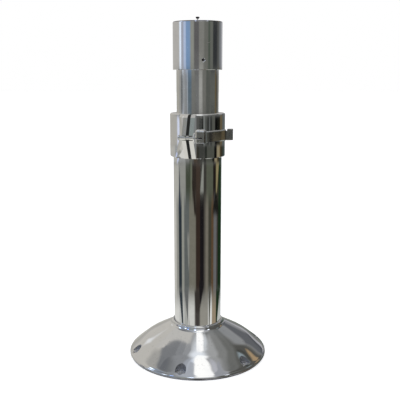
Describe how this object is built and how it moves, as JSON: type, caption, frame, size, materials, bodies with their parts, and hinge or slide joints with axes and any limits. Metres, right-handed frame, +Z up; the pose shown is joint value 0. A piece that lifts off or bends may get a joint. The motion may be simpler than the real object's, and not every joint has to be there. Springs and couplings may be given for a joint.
{
  "type": "gas lift pedestal",
  "caption": "Floor-mounted telescoping seat pedestal in bright aluminium: domed bolt-down flange, polished tube, split clamp collar with cam lever, gas-sprung inner column with turned head.",
  "frame": {"origin": "centre of the base flange's underside, on the column's axis", "axes": "+Z up along the column, -Y towards the side that carries the clamp, +X to the right seen from there"},
  "size_m": [0.225, 0.225, 0.5403],
  "materials": {
    "polished_aluminium": "mirror polished casting and tube",
    "satin_aluminium": "satin with vertical draw lines",
    "turned_aluminium": "fine turned",
    "cast_lever": "tumbled and polished casting",
    "stainless": "bright stainless",
    "bright_chrome": "polished chrome",
    "steel": "ground",
    "spring_steel": "phosphated",
    "dark_steel": "blackened",
    "black_steel": "satin black",
    "brass": "plain",
    "guide_plastic": "moulded acetal",
    "rubber": "plain"
  },
  "bodies": {
    "base": {"base_flange": "polished_aluminium", "lower_column": "polished_aluminium", "clamp_collar": "polished_aluminium", "guide_bush": "guide_plastic", "clamp_bolt": "stainless", "clamp_nut": "stainless", "saddle_washer": "bright_chrome", "lever_pivot_pin": "stainless", "anchor_plate": "steel", "anchor_circlip": "spring_steel", "thrust_race_lower": "steel", "ball_cage": "brass", "thrust_balls": "steel"},
    "gas_rod_assembly": {"gas_rod": "bright_chrome", "rod_circlip": "spring_steel", "thrust_race_upper": "steel", "gas_piston": "steel", "piston_seal": "rubber", "piston_nut": "steel"},
    "column": {"inner_column": "satin_aluminium", "head_cap": "turned_aluminium", "set_screws": "dark_steel", "gas_cylinder": "black_steel", "rod_guide": "guide_plastic", "rod_seal": "rubber", "valve_body": "steel", "valve_lock_nut": "stainless", "guide_ring": "guide_plastic", "guide_circlips": "spring_steel"},
    "valve_pin": {"release_pin": "dark_steel"},
    "lever": {"clamp_lever": "cast_lever"}
  },
  "joints": [
    {"name": "column_swivel", "type": "hinge", "parent": "base", "child": "gas_rod_assembly", "pos_m": [0, 0, 0.024], "axis": [0, 0, 1], "continuous": true},
    {"name": "column_lift", "type": "slide", "parent": "gas_rod_assembly", "child": "column", "axis": [0, 0, 1], "range_m": [-0.063, 0.087]},
    {"name": "release_pin_press", "type": "slide", "parent": "column", "child": "valve_pin", "axis": [0, 0, -1], "range_m": [0, 0.003], "stiffness_N_per_m": 2000, "springref_m": -0.01},
    {"name": "lever_swing", "type": "hinge", "parent": "base", "child": "lever", "pos_m": [0.00461, -0.06007, 0.3623], "axis": [0, 0, -1], "range_deg": [0, 90]}
  ]
}
